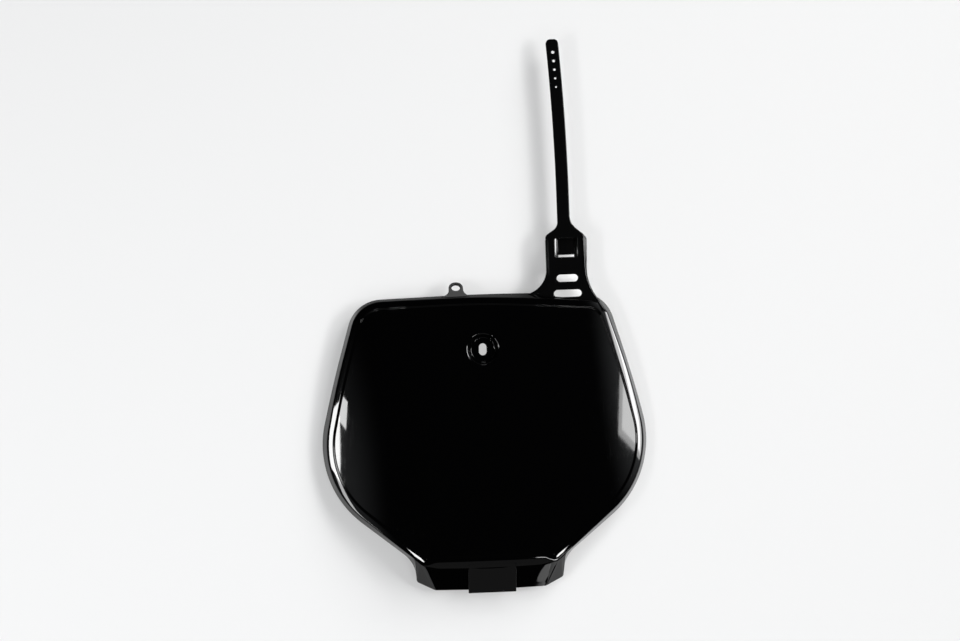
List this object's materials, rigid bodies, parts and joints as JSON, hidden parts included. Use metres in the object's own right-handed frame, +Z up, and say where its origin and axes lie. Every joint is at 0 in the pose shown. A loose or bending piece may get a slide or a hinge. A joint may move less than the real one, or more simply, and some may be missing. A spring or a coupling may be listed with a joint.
{
  "type": "motorcycle front number board",
  "caption": "Bowed black plastic number board with a raised rim, flared skirt, slotted fixing dish, hanging lug, slotted neck and a long strap with peg holes.",
  "frame": {"origin": "middle of the fixing slot, on the flat back of its dish", "axes": "+Z up the board towards the strap, +X across it towards the neck, -Y out of the number face"},
  "size_m": [0.2524, 0.0269, 0.4266],
  "materials": {
    "black_plastic": "high gloss, moulded in colour"
  },
  "bodies": {
    "root": {"number_board": "black_plastic"}
  },
  "joints": []
}
